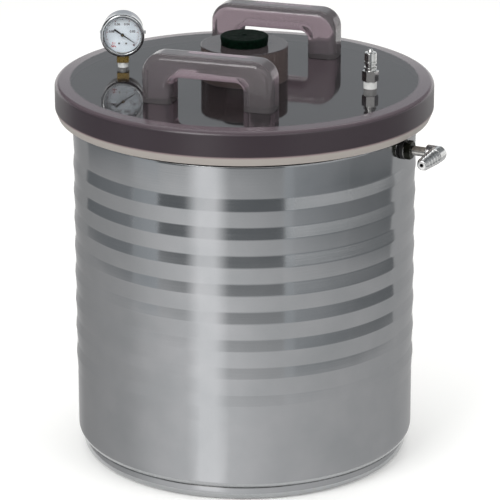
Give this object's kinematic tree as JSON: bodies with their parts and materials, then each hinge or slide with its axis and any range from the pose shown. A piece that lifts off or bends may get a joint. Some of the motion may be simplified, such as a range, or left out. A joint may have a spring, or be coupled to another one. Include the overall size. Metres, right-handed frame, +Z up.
{
  "type": "suction filter tank",
  "caption": "Round stainless vacuum tank with a clear tinted lid, stoppered neck, bridge handles, vacuum gauge, coupler plug and side hose elbow.",
  "frame": {"origin": "centre of the tank's underside, on the surface that it stands on", "axes": "+Z up along the tank's axis, +X along the lid's handles towards the coupler plug, -Y towards the front handle"},
  "size_m": [0.4081, 0.3808, 0.4461],
  "materials": {
    "steel_sheet": "bright, lightly brushed stainless sheet",
    "steel_fitting": "turned stainless steel",
    "nickel_plate": "nickel-plated casting",
    "black_steel": "blackened steel, satin",
    "black_rubber": "matt",
    "green_rubber": "matt dark green",
    "smoke_plastic": "clear acrylic with a smoky mauve tint",
    "grey_paint": "gloss grey enamel",
    "chrome": "bright chrome",
    "window_glass": "clear",
    "white_paint": "printed white dial",
    "black_paint": "matt black",
    "brass": "machined brass",
    "white_tape": "wound thread tape"
  },
  "bodies": {
    "tank": {"tank_shell": "steel_sheet", "tank_bottom": "steel_sheet", "port_nipple": "steel_fitting", "port_outer_seal": "black_rubber", "port_washer": "steel_fitting", "port_outer_nut": "black_steel", "port_elbow": "nickel_plate", "port_inner_seal": "black_rubber", "port_inner_nut": "black_steel"},
    "lid": {"lid_plate": "smoke_plastic", "lid_gasket": "black_rubber", "neck_boss": "smoke_plastic", "front_handle": "smoke_plastic", "rear_handle": "smoke_plastic", "gauge_case": "grey_paint", "gauge_bezel": "chrome", "gauge_window": "window_glass", "gauge_dial": "white_paint", "dial_screws": "steel_fitting", "gauge_stem": "brass", "gauge_seal_tape": "white_tape", "bourdon_tube": "brass", "tube_end_piece": "brass", "movement_front_plate": "brass", "movement_back_plate": "brass", "movement_pillars": "brass", "coupler_plug": "steel_fitting", "coupler_seal_tape": "white_tape"},
    "stopper": {"stopper": "green_rubber"},
    "sector": {"sector_gear": "brass"},
    "pointer": {"gauge_pointer": "black_paint", "pinion": "brass"},
    "link": {"gauge_link": "brass"}
  },
  "joints": [
    {"name": "lid_lift", "type": "slide", "parent": "tank", "child": "lid", "axis": [0, 0, 1], "range_m": [0, 0.3]},
    {"name": "stopper_pull", "type": "slide", "parent": "lid", "child": "stopper", "axis": [0, 0, 1], "range_m": [0, 0.06]},
    {"name": "sector_swing", "type": "hinge", "parent": "lid", "child": "sector", "pos_m": [-0.12121, 0.00211, 0.4244], "axis": [0.319, -0.9478, 0], "range_deg": [-67.5, 0]},
    {"name": "pointer_turn", "type": "hinge", "parent": "lid", "child": "pointer", "pos_m": [-0.12974, -0.00076, 0.4244], "axis": [0.319, -0.9478, 0], "range_deg": [0, 270]},
    {"name": "link_swing", "type": "hinge", "parent": "sector", "child": "link", "pos_m": [-0.11771, 0.00255, 0.4264], "axis": [0.319, -0.9478, 0], "range_deg": [0, 67.5]}
  ],
  "couplings": [
    {"joint": "pointer_turn", "follows": "sector_swing", "ratio": -4},
    {"joint": "link_swing", "follows": "sector_swing", "ratio": -1}
  ]
}
